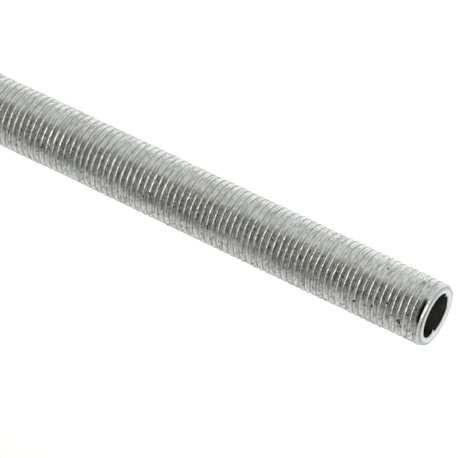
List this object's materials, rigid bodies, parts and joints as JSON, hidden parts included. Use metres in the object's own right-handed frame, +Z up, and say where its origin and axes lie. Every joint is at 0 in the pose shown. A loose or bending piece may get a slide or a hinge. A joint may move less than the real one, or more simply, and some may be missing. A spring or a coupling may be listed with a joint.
{
  "type": "threaded lamp tube",
  "caption": "Straight steel tube with a fine external thread over its whole length and a smooth through bore for a lamp's flex.",
  "frame": {"origin": "on the tube's axis, half way between its two end faces", "axes": "+X along the tube's axis, +Z up as the tube lies on its side"},
  "size_m": [0.15, 0.0098, 0.0098],
  "materials": {
    "zinc_plated_steel": "satin zinc plate on a rolled thread, with small flecks and nicks"
  },
  "bodies": {
    "root": {"threaded_tube": "zinc_plated_steel"}
  },
  "joints": []
}
